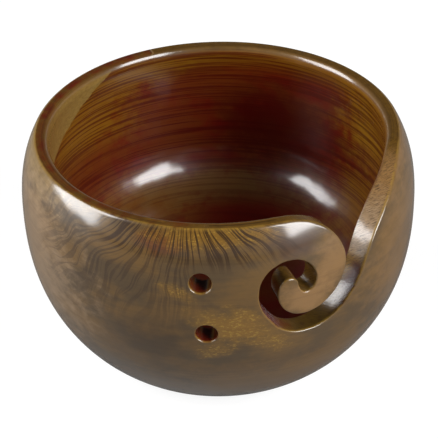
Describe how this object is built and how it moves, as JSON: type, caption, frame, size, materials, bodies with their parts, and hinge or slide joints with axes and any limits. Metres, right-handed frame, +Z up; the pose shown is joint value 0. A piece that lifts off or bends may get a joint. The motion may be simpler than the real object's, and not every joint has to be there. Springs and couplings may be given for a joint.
{
  "type": "yarn bowl",
  "caption": "Turned wooden bowl with a spiral yarn slot sawn through its wall from the rim, and yarn holes beside it.",
  "frame": {"origin": "centre of the flat foot, on the surface that the bowl stands on", "axes": "+Z up along the axis that the bowl was turned on; the spiral slot faces -Y; the yarn holes are on the -X side of the slot"},
  "size_m": [0.152, 0.152, 0.0991],
  "materials": {
    "rosewood": "gloss lacquer"
  },
  "bodies": {
    "root": {"bowl": "rosewood"}
  },
  "joints": []
}
